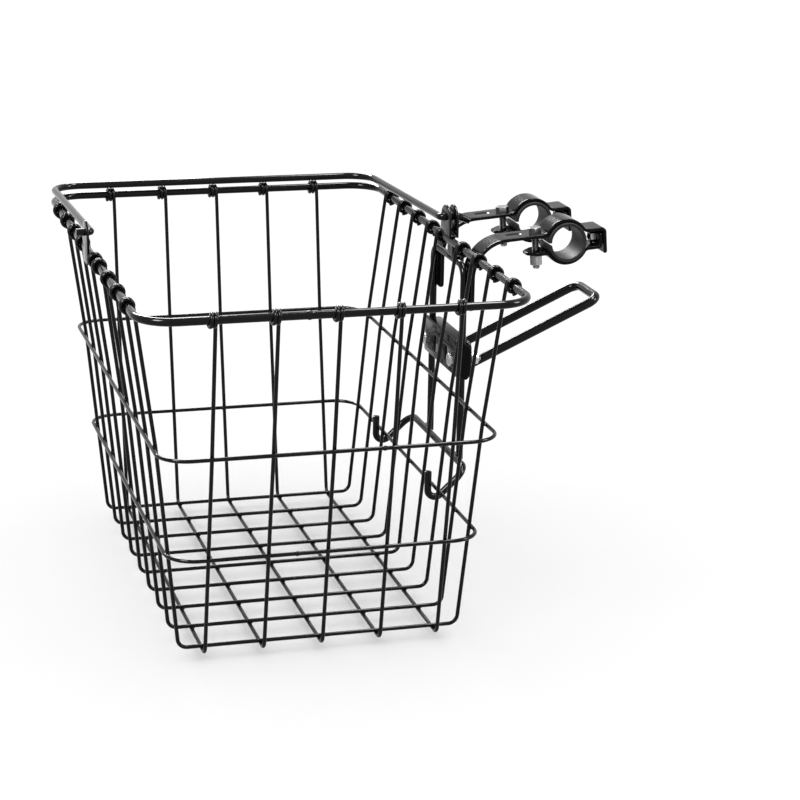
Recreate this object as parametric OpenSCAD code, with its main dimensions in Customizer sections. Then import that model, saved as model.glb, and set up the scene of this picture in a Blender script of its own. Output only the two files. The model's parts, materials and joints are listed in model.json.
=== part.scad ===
// Lift-off handlebar basket: a welded wire basket with a swinging bail handle, hung on a
// bracket that two strap clamps hold on the handlebar.
// The origin is the middle of the handlebar's clamped length. +X is the rider's left,
// +Y points back to the rider, +Z is up.

/* [Basket] */
// Length of the rim across the bike, between wire centres
rim_len = 368; // [340:1:400]
// Depth of the rim along the bike, between wire centres
rim_dep = 239.2; // [220:0.2:260]
// Length of the floor across the bike
base_len = 285; // [270:1:300]
// Depth of the floor along the bike
base_dep = 180; // [170:1:190]
// Height from the rim's centre down to the floor wires
basket_h = 221; // [210:1:235]
// Depth of the upper ring below the rim
upper_ring_z = 89; // [80:0.5:95]
// Depth of the lower ring below the rim
lower_ring_z = 157; // [155:0.5:159]
// Half length of the basket at the upper ring, to the wire centres
waist_len = 167.5; // [162:0.5:170]
// Half depth of the basket at the upper ring, to the wire centres
waist_dep = 103.2; // [101:0.1:106]
// Sideways shift of the basket on its bracket, towards the rider's left
basket_shift = 14.5; // [13:0.5:16]

/* [Wires] */
// Diameter of the rim wire
rim_d = 5; // [4.6:0.1:5.4]
// Diameter of the body wires and rings
wire_d = 2.5; // [2:0.1:2.8]
// Number of wires that run front, floor, rear
long_wires = 9; // [9:1:9]
// Spacing of those wires at the rim
long_pitch = 34.5; // [33:0.5:35]
// Spacing of those wires on the floor
long_base_pitch = 33.8; // [33:0.1:34.4]
// Number of wires that run side, floor, side
cross_wires = 5; // [3:2:5]
// Spacing of those wires
cross_pitch = 37.4; // [34:0.2:38]
// Bend radius of the rim's corners
rim_bend = 22; // [18:1:26]
// Bend radius of the rings' corners
ring_bend = 19; // [14:1:19]
// Bend radius where a wire turns from wall to floor
floor_bend = 6; // [4:0.5:9]

/* [Handle] */
// Diameter of the bail wire
bail_d = 4.8; // [4.4:0.1:5]
// Height of the bail's pivot above the rim
pivot_z = 15; // [15:0.1:15.6]
// Distance from the pivot to the bail's grip bar
bail_reach = 184; // [182:1:186]
// Height of the folded bail's grip bar above the rim
bail_rest_z = 8; // [8:0.1:8.6]
// Distance of the pivot from the basket's middle
clip_x = 4; // [3.6:0.1:4.2]
// Width of the clips that carry the pivots
clip_w = 20; // [19:0.5:20]

/* [Bracket] */
// Diameter of the handlebar that the clamps fit
bar_d = 22.2; // [22.2:0.1:22.2]
// Distance between the two arms' centres
arm_gap = 69; // [69:0.5:70]
// Width of the strap that the arms are bent from
strap_w = 20; // [18:1:20]
// Thickness of the strap
strap_t = 2.2; // [2:0.1:2.2]
// Turn of the clamps about the handlebar, front end down, in degrees
clamp_tilt = 4.5; // [3.5:0.5:5.5]
// Distance from the handlebar's axis forward to the hanger rods
hanger_reach = 68.3; // [66:0.1:70]
// Diameter of the hanger rod and the hook rod
rod_d = 4.8; // [4.4:0.1:5]
// Height of the hanger's top bar below the handlebar's axis
hanger_top = 15.7; // [15.5:0.1:16]
// Height of the hook rod's crossbar below the handlebar's axis
hook_bar_z = 147; // [147:0.1:147.4]
// Distance between the two hooks
hook_gap = 130; // [128:1:131]
// Diameter of the brace rod
brace_d = 6.3; // [6:0.1:6.5]
// Distance between the brace's legs
brace_gap = 41.8; // [41.4:0.2:42]

/* [Hidden] */
$fn = 32;
// clearance between parts that lie against each other
touch = 0.04;
// clearance of the bail's pins in their holes
pin_gap = 0.05;
// a bend is fatter than its straights by this much, and the straights run this far into it
seat = 0.02;
lap = 0.25;

wire_r = wire_d / 2;
rim_r = rim_d / 2;
bail_r = bail_d / 2;
rod_r = rod_d / 2;
brace_r = brace_d / 2;
bar_r = bar_d / 2;
half_len = rim_len / 2;
half_dep = rim_dep / 2;
half_base_len = base_len / 2;
half_base_dep = base_dep / 2;

// coils that end each wire: tube radius, pitch, distance from the rim's centre
coil_r = wire_r + 0.1;
coil_off = rim_r + coil_r + touch;
coil_step = 2.3;
// the gentle bend where the walls lean over at the upper ring
waist_bend = 60;
// the hanger's top bar stands behind the rim by this much
rim_to_hanger = rim_r + rod_r + 1.6;
basket_y = -(hanger_reach + rim_to_hanger + half_dep);
cross_floor_z = basket_h + wire_d + touch;
ring_off = wire_d + touch;
rim_weld_y = -20;
rim_weld_r = rim_r + 0.5;
weld_w = 3;
// the middle wire ends beside the clips
front_mid_x = clip_x + clip_w / 2 + 3.2;
rear_mid_x = clip_x - clip_w / 2 - 4.2;

// sheet clips that stand on the rim and carry the bail's pins
clip_t = 1.5;
clip_low = rim_r + touch;
clip_in = -rim_r;
clip_out = rim_r + touch;
cheek_r = clip_w / 2;
cheek_z = 13;
clip_bore = bail_r + pin_gap;
skirt_low = 5;
skirt_half = 7;
latch_w = 12;
latch_back = rim_to_hanger + rod_r + 0.4;
latch_ledge = hanger_top - rod_r - 0.05;
latch_lip = 21;
front_pin_bend = 2.6;
pin_bend = 3;
bail_corner = 20;
front_leg_y = -(half_dep + clip_out - bail_r - 0.3);
rear_leg_y = half_dep + clip_in - pin_bend - touch;
front_pin_end = -half_dep - 9.5;
// the rear pin's end droops behind the clip
droop_start = half_dep + 7;
rear_pin_end = half_dep + 14.5;
rear_pin_drop = 3.4;

// clamp straps
liner_t = 2.2;
liner_w = strap_w + 4;
liner_slot = 2;
band_in = bar_r + liner_t + touch;
band_out = band_in + strap_t;
arm_top = 7;
arm_bend = 26;
strip_front = -hanger_reach + rod_r + touch;
strip_low = 45;
strip_round = 4;
ear_top = -5.2;
ear_tip = 27;
ear_tip_r = 3;
ear_bolt_y = -19;
tail_back = 28.2;
tail_low = 11;
tail_corner = 3.5;
tab_back = 25.1;
tab_high = 3.2;
tab_corner = 3.2;
tail_bolt_z = -0.6;
emboss_deep = 0.6;
emboss_w = 6;
emboss_len = 11;
emboss_y = -34;
emboss_z = -34.5;

// fasteners
bolt_r = 2.5;
bolt_hole_r = bolt_r + 0.1;
screw_r = 2;
screw_hole_r = screw_r + 0.1;
dome_r = 4;
dome_h = 3;
hex_flats = 8;
head_h = 3.5;
nut_h = 4.4;
clamp_nut_h = 6.6;
small_flats = 7;
small_nut_h = 4;
washer_r = 5;
washer_t = 1;
thread_gap = 0.03;
clamp_bolt_len = 25;
tail_bolt_len = 10.4;
brace_bolt_len = 19.2;

// hanger plate, a shallow tray that opens backwards
plate_t = 2;
plate_back = -hanger_reach - rod_r - touch;
plate_half = arm_gap / 2 + rod_r + touch + plate_t;
plate_top = -66.5;
plate_low = -91.5;
tray_back = -63.4;
tray_half = arm_gap / 2 - rod_r - 0.6;
tray_corner = 3;
end_drop = 2;
plate_bolt_x = 28.2;
plate_bolt_z = -81;
slot_x = 13;
slot_h = 11;
slot_w = 4;

// hanger rod
hanger_bend = 9;
hanger_low = 150;

// hook rod
hook_bar_y = -hanger_reach - rod_d - touch;
hook_corner = 10;
hook_bend = 5.2;
hook_y = -99.5;
hook_tip = 146.5;
hook_foot = 171.5;

// brace rod
brace_back = 33;
brace_back_z = -45.8;
brace_low_z = -88.9;
brace_corner = 8;
paddle_t = 2.4;
paddle_in = 17.7;
paddle_out = 33.2;
paddle_top = -69.5;
paddle_low = -91.8;
paddle_corner = 4;
paddle_y = tray_back + touch;

LONG_NODES = [for (i = [1:long_wires]) str("long_wire_", i)];
CROSS_NODES = [for (i = [1:cross_wires]) str("cross_wire_", i)];

coat = [0.05, 0.05, 0.055];
zinc = [0.78, 0.79, 0.80];
rubber = [0.09, 0.09, 0.09];

// ---- rods bent from straight lengths and round bends ----

function unit(v) = v / norm(v);

// a direction square to v
function square_to(v) = unit(cross(v, abs(v.z) < 0.9 ? [0, 0, 1] : [1, 0, 0]));

// turns local x, y, z to the three given directions and moves the origin to p
module pose(x, y, z, p) {
    multmatrix([
        [x.x, y.x, z.x, p.x],
        [x.y, y.y, z.y, p.y],
        [x.z, y.z, z.z, p.z],
        [0, 0, 0, 1]]) children();
}

module straight(a, b, r) {
    z = unit(b - a);
    x = square_to(z);
    pose(x, cross(z, x), z, a) cylinder(r = r, h = norm(b - a));
}

function turn(a, p, b) = acos(unit(p - a) * unit(b - p));

// length of a bend's tangent at corner p
function tangent(a, p, b, bend) = bend * tan(turn(a, p, b) / 2);

module corner(a, p, b, bend, r) {
    u = unit(p - a);
    v = unit(b - p);
    angle = turn(a, p, b);
    inward = unit(v - u);
    centre = p + inward * bend / cos(angle / 2);
    start = p - u * tangent(a, p, b, bend);
    out = unit(start - centre);
    pose(out, u, cross(out, u), centre)
        rotate_extrude(angle = angle) translate([bend, 0]) circle(r = r + seat);
}

// an open rod through the points, with one bend radius for each inner point
module bent_rod(points, bends, r) {
    last = len(points) - 1;
    trims = [for (i = [0:last]) i == 0 || i == last ? 0
        : tangent(points[i - 1], points[i], points[i + 1], bends[i - 1]) - lap];
    for (i = [0:last - 1]) {
        along = unit(points[i + 1] - points[i]);
        straight(points[i] + along * trims[i], points[i + 1] - along * trims[i + 1], r);
    }
    for (i = [1:last - 1]) corner(points[i - 1], points[i], points[i + 1], bends[i - 1], r);
}

// a closed level ring with round corners
module wire_ring(half_x, half_y, bend, z, r) {
    for (s = [-1, 1]) {
        straight([s * half_x, bend - half_y - lap, z], [s * half_x, half_y - bend + lap, z], r);
        straight([bend - half_x - lap, s * half_y, z], [half_x - bend + lap, s * half_y, z], r);
    }
    for (i = [0:3]) {
        side = [i == 0 || i == 3 ? 1 : -1, i < 2 ? 1 : -1];
        translate([side.x * (half_x - bend), side.y * (half_y - bend), z])
            rotate([0, 0, 90 * i]) rotate_extrude(angle = 90)
                translate([bend, 0]) circle(r = r + seat);
    }
}

// ---- basket, drawn about the middle of its rim ----

module in_basket() {
    translate([basket_shift, basket_y, 0]) children();
}

// half width of a wall at depth z, from the rim through the waist to the floor
function lean(top, waist, foot, z) = z < upper_ring_z
    ? top + (waist - top) * z / upper_ring_z
    : waist + (foot - waist) * (z - upper_ring_z) / (basket_h - upper_ring_z);

function wall_y(z) = lean(half_dep - coil_off, waist_dep, half_base_dep, z);
function wall_x(z) = lean(half_len - coil_off, waist_len, half_base_len, z);

module top_rim() {
    color(coat) in_basket() {
        wire_ring(half_len, half_dep, rim_bend, 0, rim_r);
        // butt weld of the rim wire
        straight([half_len, rim_weld_y - weld_w / 2, 0],
            [half_len, rim_weld_y + weld_w / 2, 0], rim_weld_r);
    }
}

module body_ring(z) {
    color(coat) in_basket()
        wire_ring(wall_x(z) + ring_off, wall_y(z) + ring_off, ring_bend, -z, wire_r);
}

module upper_ring() body_ring(upper_ring_z);

module lower_ring() body_ring(lower_ring_z);

// two turns of wire round a rim wire that runs along X; the wire runs into the first turn
module end_coil() {
    rotate([0, 90, 0]) rotate_extrude()
        for (i = [0, 1]) translate([coil_off, i * coil_step]) circle(r = coil_r);
}

// a body wire down one wall, over the floor and up the other wall; it runs along Y
module u_wire(top, waist, foot, depth, x_a, x_b, x_foot) {
    part_way = upper_ring_z / basket_h;
    points = [
        [x_a, -top, 0],
        [x_a + (x_foot - x_a) * part_way, -waist, -upper_ring_z],
        [x_foot, -foot, -depth],
        [x_foot, foot, -depth],
        [x_b + (x_foot - x_b) * part_way, waist, -upper_ring_z],
        [x_b, top, 0]];
    bent_rod(points, [waist_bend, floor_bend, floor_bend, waist_bend], wire_r);
    translate([x_a, -top - coil_off, 0]) end_coil();
    translate([x_b, top + coil_off, 0]) end_coil();
}

module long_wire(i) {
    step = i - (long_wires + 1) / 2;
    x_front = step == 0 ? front_mid_x : step * long_pitch;
    x_rear = step == 0 ? rear_mid_x : step * long_pitch;
    color(coat) in_basket()
        u_wire(half_dep - coil_off, waist_dep, half_base_dep, basket_h,
            x_front, x_rear, step * long_base_pitch);
}

module cross_wire(i) {
    y = (i - (cross_wires + 1) / 2) * cross_pitch;
    color(coat) in_basket() rotate([0, 0, -90])
        u_wire(half_len - coil_off, waist_len, half_base_len, cross_floor_z, -y, -y, -y);
}

// ---- bail handle and its clips ----

// cheek of a clip with a round top, drawn about the pin's side of the clip
module cheek(y) {
    translate([0, y + clip_t, 0]) rotate([90, 0, 0]) linear_extrude(clip_t) difference() {
        union() {
            translate([0, cheek_z]) circle(r = cheek_r);
            translate([-cheek_r, clip_low]) square([2 * cheek_r, cheek_z - clip_low]);
        }
        translate([0, pivot_z]) circle(r = clip_bore);
    }
}

// folded channel on the rim; the rear pin passes through both of its cheeks
module clip_channel() {
    cheek(clip_in);
    cheek(clip_out);
    translate([-cheek_r, clip_in, clip_low])
        cube([2 * cheek_r, clip_out + clip_t - clip_in, clip_t]);
}

// a single plate on the rim's outer side, with a round top and a tapered foot
module front_clip() {
    color(coat) in_basket() translate([clip_x, -half_dep, 0]) mirror([0, 1, 0]) {
        cheek(clip_out);
        translate([0, clip_out + clip_t, 0]) rotate([90, 0, 0]) linear_extrude(clip_t)
            polygon([
                [-cheek_r, clip_low + 1], [-cheek_r, 0], [-skirt_half, -skirt_low],
                [skirt_half, -skirt_low], [cheek_r, 0], [cheek_r, clip_low + 1]]);
    }
}

module rear_clip() {
    ledge = latch_back + clip_t - clip_out;
    color(coat) in_basket() translate([clip_x, half_dep, 0]) {
        clip_channel();
        // tongue whose ledge rests on the hanger's top bar and whose lip drops behind it
        translate([-cheek_r, clip_out, 0]) {
            translate([0, 0, -latch_ledge])
                cube([latch_w, clip_t, latch_ledge + clip_low + clip_t]);
            translate([0, 0, -latch_ledge]) cube([latch_w, ledge, clip_t]);
            translate([0, ledge - clip_t, -latch_lip])
                cube([latch_w, clip_t, latch_lip - latch_ledge + clip_t]);
        }
    }
}

module bail_handle() {
    bar_x = clip_x - bail_reach;
    color(coat) in_basket() bent_rod([
        [clip_x, front_pin_end, pivot_z],
        [clip_x, front_leg_y, pivot_z],
        [bar_x, front_leg_y, bail_rest_z],
        [bar_x, rear_leg_y, bail_rest_z],
        [clip_x, rear_leg_y, pivot_z],
        [clip_x, droop_start, pivot_z],
        [clip_x, rear_pin_end, pivot_z - rear_pin_drop]],
        [front_pin_bend, bail_corner, bail_corner, pin_bend, pin_bend], bail_r);
}

// ---- bracket ----

// turns the clamp parts about the handlebar
module tilted() {
    rotate([clamp_tilt, 0, 0]) children();
}

// a ring sector's worth of strap: the part of the band where z is above low
module band_above(low) {
    difference() {
        circle(r = band_out);
        circle(r = band_in);
        translate([-band_out - 1, low - 2 * band_out]) square([2 * band_out + 2, 2 * band_out]);
    }
}

module band_below(high) {
    difference() {
        circle(r = band_out);
        circle(r = band_in);
        translate([-band_out - 1, high]) square([2 * band_out + 2, 2 * band_out]);
    }
}

// quarter of a strap bend, drawn for the corner at the top left of its centre
module strap_bend(outer) {
    difference() {
        intersection() {
            circle(r = outer);
            translate([-outer, 0]) square(outer);
        }
        circle(r = outer - strap_t);
    }
}

// ring sector between the vertical strip and the tilted flat, a hair thicker than both
module arm_bend_outline() {
    outer = arm_bend + seat / 2;
    difference() {
        intersection() {
            circle(r = outer);
            translate([-2 * outer, 0]) square(2 * outer);
            rotate(clamp_tilt) translate([-2 * outer, -outer]) square([2 * outer, 3 * outer]);
        }
        circle(r = arm_bend - strap_t - seat / 2);
    }
}

// side view of an arm: down strip, bend, and the tilted flat, band over the bar and tail
module arm_outline() {
    under = arm_top - strap_t;
    bend_y = strip_front + arm_bend;
    bend_z = (arm_top - arm_bend + bend_y * sin(clamp_tilt)) / cos(clamp_tilt);
    flat_y = bend_y * cos(clamp_tilt) + bend_z * sin(clamp_tilt) - lap;
    meet = sqrt(band_in * band_in - under * under) + lap;
    translate([strip_front, -strip_low]) square([strap_t, strip_low + bend_z + lap]);
    translate([bend_y, bend_z]) arm_bend_outline();
    rotate(clamp_tilt) {
        translate([flat_y, under]) square([-meet - flat_y, strap_t]);
        band_above(under);
        translate([meet, under]) square([tail_back - tail_corner - meet, strap_t]);
        translate([tail_back - tail_corner, arm_top - tail_corner]) mirror([1, 0])
            strap_bend(tail_corner);
        translate([tail_back - strap_t, -tail_low])
            square([strap_t, tail_low + arm_top - tail_corner]);
    }
}

// rounded oval, long in y
module oval(w, l) {
    for (s = [-1, 1]) translate([0, s * (l - w) / 2]) circle(d = w);
    square([w, l - w], center = true);
}

module arm() {
    difference() {
        rotate([90, 0, 90]) linear_extrude(strap_w, center = true) arm_outline();
        tilted() {
            translate([0, ear_bolt_y, 0]) cylinder(r = bolt_hole_r, h = 2 * arm_top);
            translate([0, tail_back - 2 * strap_t, tail_bolt_z]) rotate([-90, 0, 0])
                cylinder(r = screw_hole_r, h = 3 * strap_t);
            // pressed oval that stiffens the flat; the next one is on the down strip
            translate([0, emboss_y, arm_top - emboss_deep])
                linear_extrude(1) oval(emboss_w, emboss_len);
        }
        translate([0, strip_front + strap_t - emboss_deep, emboss_z]) rotate([-90, 0, 0])
            linear_extrude(1) oval(emboss_w, emboss_len);
        // rounded lower corners of the strip
        for (s = [-1, 1]) translate([s * (strap_w / 2 - strip_round), strip_front - 1,
            strip_round - strip_low]) rotate([-90, 0, 0]) linear_extrude(strap_t + 2)
                difference() {
                    translate([s < 0 ? -2 * strip_round : 0, 0]) square(2 * strip_round);
                    circle(r = strip_round);
                }
    }
}

module left_arm() color(coat) translate([arm_gap / 2, 0, 0]) arm();

module right_arm() color(coat) translate([-arm_gap / 2, 0, 0]) arm();

// side view of the lower strap: ear, band under the bar, and rear tab
module lower_outline() {
    low = ear_top - strap_t;
    meet = sqrt(band_in * band_in - ear_top * ear_top) + lap;
    translate([ear_bolt_y, low]) square([-meet - ear_bolt_y, strap_t]);
    band_below(ear_top);
    translate([meet, low]) square([tab_back - tab_corner - meet, strap_t]);
    translate([tab_back - tab_corner, low + tab_corner]) rotate([0, 0, 180])
        strap_bend(tab_corner);
    translate([tab_back - strap_t, low + tab_corner])
        square([strap_t, tab_high - low - tab_corner]);
}

module clamp_strap() {
    difference() {
        union() {
            rotate([90, 0, 90]) linear_extrude(strap_w, center = true) lower_outline();
            // the ear narrows to a round point; it is a hair thicker than the strap
            translate([0, 0, ear_top - strap_t - seat / 2]) linear_extrude(strap_t + seat)
                ear_plan();
        }
        translate([0, ear_bolt_y, ear_top - strap_t - 1])
            cylinder(r = bolt_hole_r, h = strap_t + 2);
        translate([0, tab_back - strap_t - 1, tail_bolt_z]) rotate([-90, 0, 0])
            cylinder(r = screw_hole_r, h = strap_t + 2);
    }
}

module ear_plan() {
    slope_y = -ear_tip + ear_tip_r;
    polygon([
        [-strap_w / 2, ear_bolt_y], [-strap_w / 2, ear_bolt_y + 1],
        [strap_w / 2, ear_bolt_y + 1], [strap_w / 2, ear_bolt_y],
        [ear_tip_r, slope_y], [-ear_tip_r, slope_y]]);
    translate([0, slope_y]) circle(r = ear_tip_r);
}

module left_clamp_strap() color(coat) translate([arm_gap / 2, 0, 0]) tilted() clamp_strap();

module right_clamp_strap() color(coat) translate([-arm_gap / 2, 0, 0]) tilted() clamp_strap();

// split sleeve between the bar and the band
module liner() {
    rotate([90, 0, 90]) linear_extrude(liner_w, center = true) difference() {
        circle(r = bar_r + liner_t);
        circle(r = bar_r);
        translate([-bar_r - 2 * liner_t, -liner_slot / 2]) square([3 * liner_t, liner_slot]);
    }
}

module left_liner() color(rubber) translate([arm_gap / 2, 0, 0]) tilted() liner();

module right_liner() color(rubber) translate([-arm_gap / 2, 0, 0]) tilted() liner();

module hexagon(flats, h) cylinder(d = flats / cos(30), h = h, $fn = 6);

// a hexagon bolt pointing down from z = 0, with its head above
module bolt(shank) {
    translate([0, 0, touch]) hexagon(hex_flats, head_h);
    translate([0, 0, -shank]) cylinder(r = bolt_r, h = shank + 1);
}

// a round-headed screw pointing down from z = 0
module dome_screw(shank) {
    translate([0, 0, touch]) rotate_extrude() intersection() {
        translate([0, dome_h - dome_r]) circle(r = dome_r);
        square([dome_r, dome_h]);
    }
    translate([0, 0, -shank]) cylinder(r = screw_r, h = shank + 1);
}

module nut(flats, h, r) {
    difference() {
        hexagon(flats, h);
        translate([0, 0, -1]) cylinder(r = r + thread_gap, h = h + 2);
    }
}

module washer() {
    difference() {
        cylinder(r = washer_r, h = washer_t);
        translate([0, 0, -1]) cylinder(r = bolt_hole_r, h = washer_t + 2);
    }
}

module at_both(half_gap) for (s = [-1, 1]) translate([s * half_gap, 0, 0]) children();

module clamp_bolts() color(zinc) at_both(arm_gap / 2) tilted()
    translate([0, ear_bolt_y, arm_top]) bolt(clamp_bolt_len);

module clamp_washers() color(zinc) at_both(arm_gap / 2) tilted()
    translate([0, ear_bolt_y, ear_top - strap_t - washer_t - touch]) washer();

module clamp_nuts() color(zinc) at_both(arm_gap / 2) tilted()
    translate([0, ear_bolt_y, ear_top - strap_t - washer_t - clamp_nut_h - 2 * touch])
        nut(hex_flats, clamp_nut_h, bolt_r);

// these lie along Y with their heads towards the rider
module tail_screws() color(coat) at_both(arm_gap / 2) tilted()
    translate([0, tail_back, tail_bolt_z]) rotate([-90, 0, 0]) dome_screw(tail_bolt_len);

module tail_nuts() color(zinc) at_both(arm_gap / 2) tilted()
    translate([0, tab_back - strap_t - touch, tail_bolt_z]) rotate([90, 0, 0])
        nut(small_flats, small_nut_h, screw_r);

// one rod bent into a narrow upside-down U
module hanger_rod() {
    x = arm_gap / 2;
    color(coat) bent_rod([
        [-x, -hanger_reach, -hanger_low],
        [-x, -hanger_reach, -hanger_top],
        [x, -hanger_reach, -hanger_top],
        [x, -hanger_reach, -hanger_low]],
        [hanger_bend, hanger_bend], rod_r);
}

// face of the tray with its chamfered corners
module plate_face() {
    c = tray_corner;
    polygon([
        [-plate_half, plate_low + c], [-plate_half + c, plate_low],
        [plate_half - c, plate_low], [plate_half, plate_low + c],
        [plate_half, plate_top - c], [plate_half - c, plate_top],
        [-plate_half + c, plate_top], [-plate_half, plate_top - c]]);
}

module hanger_plate() {
    deep = tray_back - plate_back + plate_t;
    front = plate_back - plate_t;
    c = tray_corner;
    color(coat) difference() {
        union() {
            translate([0, plate_back, 0]) rotate([90, 0, 0]) linear_extrude(plate_t)
                plate_face();
            // upper and lower flanges between the hanger rods
            for (z = [plate_top - plate_t, plate_low])
                translate([-tray_half, front + 1, z]) cube([2 * tray_half, deep - 1, plate_t]);
            // end flanges outside the hanger rods, set a little lower
            for (s = [-1, 1]) translate([s * (plate_half - plate_t / 2), 0, 0])
                rotate([90, 0, 90]) linear_extrude(plate_t, center = true) polygon([
                    [front + 1, plate_low + c],
                    [tray_back - c, plate_low - end_drop],
                    [tray_back, plate_low - end_drop + c],
                    [tray_back, plate_top - end_drop - c],
                    [tray_back - c, plate_top - end_drop],
                    [front + 1, plate_top - end_drop - c]]);
        }
        at_both(plate_bolt_x) translate([0, front - 1, plate_bolt_z])
            rotate([-90, 0, 0]) cylinder(r = bolt_hole_r, h = plate_t + 2);
        // tall slots beside the bolts
        at_both(slot_x) translate([0, plate_back + 1, plate_bolt_z])
            rotate([90, 0, 0]) linear_extrude(plate_t + 2) oval(slot_w, slot_h);
    }
}

// rod across the foot of the hanger; both ends turn forward and up into hooks
module hook_rod() {
    x = hook_gap / 2;
    color(coat) bent_rod([
        [-x, hook_y, -hook_tip],
        [-x, hook_y, -hook_foot],
        [-x, hook_bar_y, -hook_bar_z],
        [x, hook_bar_y, -hook_bar_z],
        [x, hook_y, -hook_foot],
        [x, hook_y, -hook_tip]],
        [hook_bend, hook_corner, hook_corner, hook_bend], rod_r);
}

// U-shaped rod that leans back on the stem; its legs end in flat paddles
module brace_loop() {
    x = brace_gap / 2;
    end_y = paddle_y + 0.75 * paddle_t;
    color(coat) difference() {
        union() {
            bent_rod([
                [-x, end_y, brace_low_z],
                [-x, brace_back, brace_back_z],
                [x, brace_back, brace_back_z],
                [x, end_y, brace_low_z]],
                [brace_corner, brace_corner], brace_r);
            at_both((paddle_in + paddle_out) / 2)
                translate([0, paddle_y + paddle_t, (paddle_top + paddle_low) / 2])
                    rotate([90, 0, 0]) linear_extrude(paddle_t)
                        rounded_plate(paddle_out - paddle_in, paddle_top - paddle_low);
        }
        at_both(plate_bolt_x) translate([0, paddle_y - 1, plate_bolt_z])
            rotate([-90, 0, 0]) cylinder(r = bolt_hole_r, h = paddle_t + 2);
    }
}

module rounded_plate(w, h) {
    r = paddle_corner;
    square([w - 2 * r, h], center = true);
    square([w, h - 2 * r], center = true);
    for (sx = [-1, 1], sy = [-1, 1]) translate([sx * (w / 2 - r), sy * (h / 2 - r)])
        circle(r = r);
}

// these lie along Y with their heads towards the basket
module brace_bolts() color(zinc) at_both(plate_bolt_x)
    translate([0, plate_back - plate_t, plate_bolt_z]) rotate([90, 0, 0]) bolt(brace_bolt_len);

module brace_washers() color(zinc) at_both(plate_bolt_x)
    translate([0, paddle_y + paddle_t + touch, plate_bolt_z]) rotate([-90, 0, 0]) washer();

module brace_nuts() color(zinc) at_both(plate_bolt_x)
    translate([0, paddle_y + paddle_t + washer_t + 2 * touch, plate_bolt_z])
        rotate([-90, 0, 0]) nut(hex_flats, nut_h, bolt_r);

// ---- nodes ----

left_arm();
right_arm();
left_clamp_strap();
right_clamp_strap();
left_liner();
right_liner();
clamp_bolts();
clamp_washers();
clamp_nuts();
tail_screws();
tail_nuts();
hanger_rod();
hanger_plate();
hook_rod();
brace_loop();
brace_bolts();
brace_washers();
brace_nuts();
top_rim();
upper_ring();
lower_ring();
front_clip();
rear_clip();
bail_handle();
for (i = [1:long_wires]) long_wire(i);
for (i = [1:cross_wires]) cross_wire(i);
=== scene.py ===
import json
import math
import random

import bmesh
import bpy
from mathutils import Matrix, Vector, noise

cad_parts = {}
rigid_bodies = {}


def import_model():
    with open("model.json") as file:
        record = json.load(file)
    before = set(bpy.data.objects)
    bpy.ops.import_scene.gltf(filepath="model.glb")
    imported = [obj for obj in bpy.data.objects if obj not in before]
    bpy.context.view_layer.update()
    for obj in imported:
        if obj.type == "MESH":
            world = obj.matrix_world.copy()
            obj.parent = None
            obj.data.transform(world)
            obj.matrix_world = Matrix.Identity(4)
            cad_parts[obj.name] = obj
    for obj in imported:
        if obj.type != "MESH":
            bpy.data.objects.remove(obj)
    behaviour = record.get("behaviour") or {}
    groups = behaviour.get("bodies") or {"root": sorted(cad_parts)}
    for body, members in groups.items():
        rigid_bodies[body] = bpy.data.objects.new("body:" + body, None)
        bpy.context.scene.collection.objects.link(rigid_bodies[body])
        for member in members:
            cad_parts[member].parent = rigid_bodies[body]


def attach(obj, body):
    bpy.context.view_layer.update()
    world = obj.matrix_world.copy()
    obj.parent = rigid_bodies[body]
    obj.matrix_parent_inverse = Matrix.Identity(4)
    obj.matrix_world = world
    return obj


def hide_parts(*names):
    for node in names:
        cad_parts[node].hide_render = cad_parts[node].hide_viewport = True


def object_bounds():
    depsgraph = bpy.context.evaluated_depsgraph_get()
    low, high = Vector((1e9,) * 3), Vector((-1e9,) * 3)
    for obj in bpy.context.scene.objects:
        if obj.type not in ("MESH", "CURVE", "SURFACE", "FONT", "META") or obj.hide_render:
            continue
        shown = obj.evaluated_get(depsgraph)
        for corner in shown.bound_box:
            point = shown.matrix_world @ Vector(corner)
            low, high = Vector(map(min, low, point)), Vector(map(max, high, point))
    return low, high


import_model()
CAD_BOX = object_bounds()
MM = 0.001

# ---- sizes of the part, in millimetres ----

RIM_HX, RIM_HY, RIM_R, RIM_BEND = 184.0, 119.6, 2.5, 22.0
FLOOR_HX, FLOOR_HY, FLOOR_Z, FLOOR_BEND = 142.5, 90.0, 221.0, 6.0
WAIST_HX, WAIST_HY, WAIST_BEND = 167.5, 103.2, 60.0
UPPER_Z, LOWER_Z, RING_BEND = 89.0, 157.0, 19.0
WIRE_R = 1.25
TOUCH = 0.04
COIL_OFF = RIM_R + WIRE_R + 0.1 + TOUCH
LONG_PITCH, LONG_FLOOR_PITCH, CROSS_PITCH = 34.5, 33.8, 37.4
SHIFT_X = 14.5
BASKET_Y = -194.4
CROSS_FLOOR_Z = FLOOR_Z + 2 * WIRE_R + TOUCH
RING_OFF = 2 * WIRE_R + TOUCH
COIL_STEP = 2.45
CLIP_X, CLIP_W, CLIP_T = 4.0, 20.0, 1.5
PIVOT_Z, BAIL_R, BAIL_REACH, BAIL_Z = 15.0, 2.4, 184.0, 8.0
BAR_R, BAND_IN, STRAP_T, STRAP_W, ARM_X = 11.1, 13.34, 2.2, 20.0, 34.5
HANGER_Y, HANGER_TOP, ROD_R = -68.3, -15.7, 2.4
HOOK_BAR_Z, HOOK_HX = -147.0, 65.0
PLATE_BOLT_X, PLATE_BOLT_Z, PADDLE_Y = 28.2, -81.0, -63.4
LONG_WIRES, CROSS_WIRES = 9, 5
LONG_MID, CROSS_MID = (LONG_WIRES + 1) // 2, (CROSS_WIRES + 1) // 2
HEX_FLATS, THREAD_R, BOLT_HOLE_R = 8.0, 2.48, 2.6


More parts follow.
